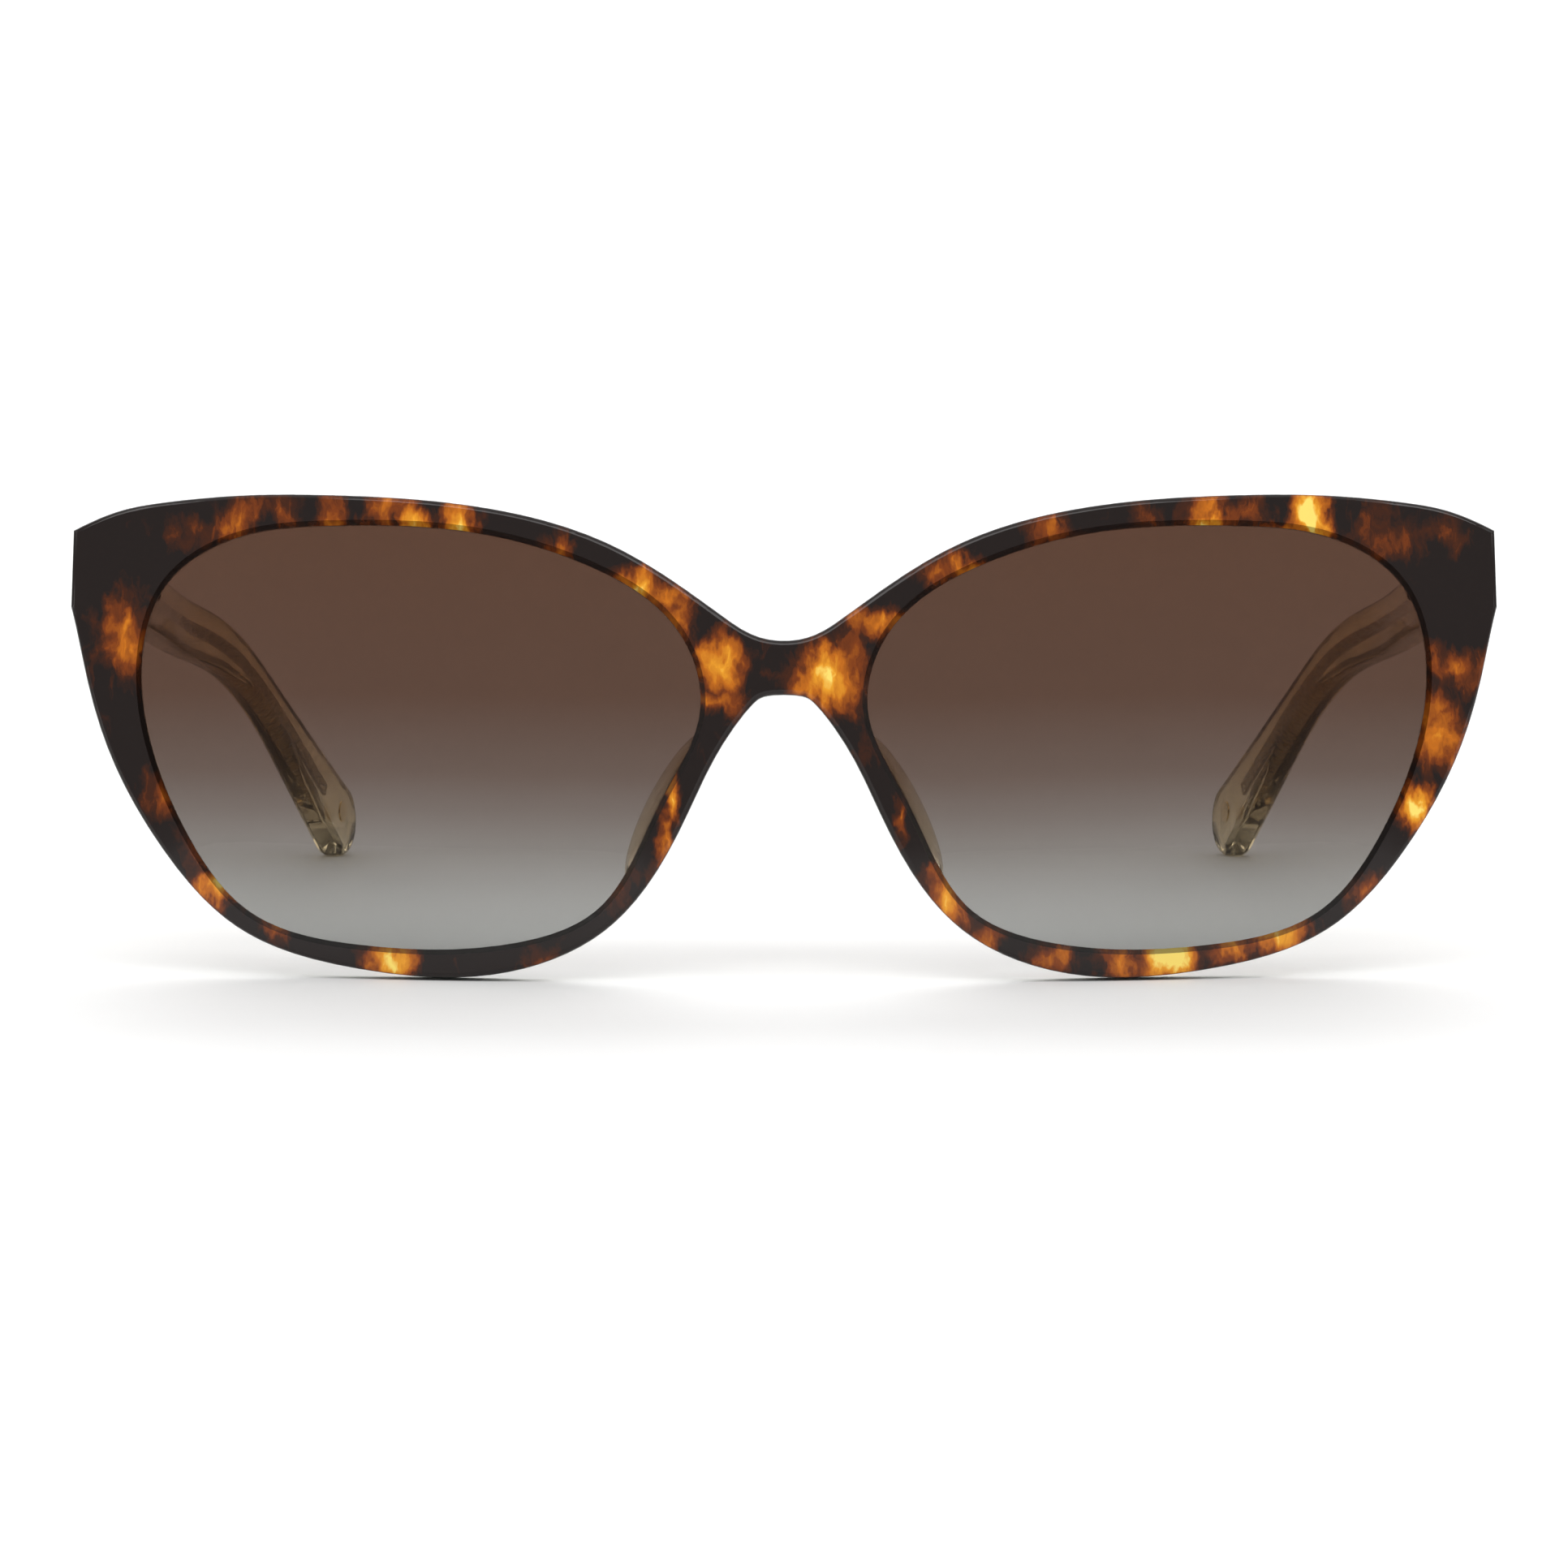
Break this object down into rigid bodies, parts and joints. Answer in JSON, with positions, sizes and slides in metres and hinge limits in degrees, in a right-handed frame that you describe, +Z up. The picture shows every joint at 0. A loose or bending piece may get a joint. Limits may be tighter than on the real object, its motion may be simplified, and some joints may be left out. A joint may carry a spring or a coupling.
{
  "type": "sunglasses",
  "caption": "Cat eye sunglasses with a laminated tortoiseshell front, gradient brown lenses, crystal nose pads and folding wire-cored champagne temples.",
  "frame": {"origin": "below the middle of the bounding box, on the surface the open sunglasses stand on", "axes": "+Z up; +Y from the front back to the temple tips; +X to the left side of the wearer. The lowest points of the rims and of the temple tips stand on Z = 0."},
  "size_m": [0.143, 0.1536, 0.048],
  "materials": {
    "tortoise_acetate": "polished tortoiseshell acetate, dark brown with amber patches",
    "crystal_acetate": "polished pale crystal acetate",
    "pad_acetate": "polished beige crystal acetate",
    "temple_acetate": "polished translucent champagne acetate",
    "lens_gradient": "brown at the top fading to pale grey at the bottom",
    "hinge_metal": "satin nickel silver",
    "core_metal": "bright drawn nickel silver wire",
    "disc_metal": "polished pale gold"
  },
  "bodies": {
    "front": {"front_rim_crystal": "crystal_acetate", "front_rim_tortoise": "tortoise_acetate", "left_front_hinge": "hinge_metal", "left_hinge_screw": "hinge_metal", "left_lens": "lens_gradient", "left_nose_pad": "pad_acetate", "right_front_hinge": "hinge_metal", "right_hinge_screw": "hinge_metal", "right_lens": "lens_gradient", "right_nose_pad": "pad_acetate"},
    "left_temple": {"left_core_wire": "core_metal", "left_temple_arm": "temple_acetate", "left_temple_hinge": "hinge_metal", "left_tip_disc": "disc_metal"},
    "right_temple": {"right_core_wire": "core_metal", "right_temple_arm": "temple_acetate", "right_temple_hinge": "hinge_metal", "right_tip_disc": "disc_metal"}
  },
  "joints": [
    {"name": "left_temple_fold", "type": "hinge", "parent": "front", "child": "left_temple", "pos_m": [0.0647, -0.05735, 0.03997], "axis": [0, 0.134, 0.991], "range_deg": [0, 83]},
    {"name": "right_temple_fold", "type": "hinge", "parent": "front", "child": "right_temple", "pos_m": [-0.0647, -0.05735, 0.03997], "axis": [0, -0.134, -0.991], "range_deg": [0, 69]}
  ]
}
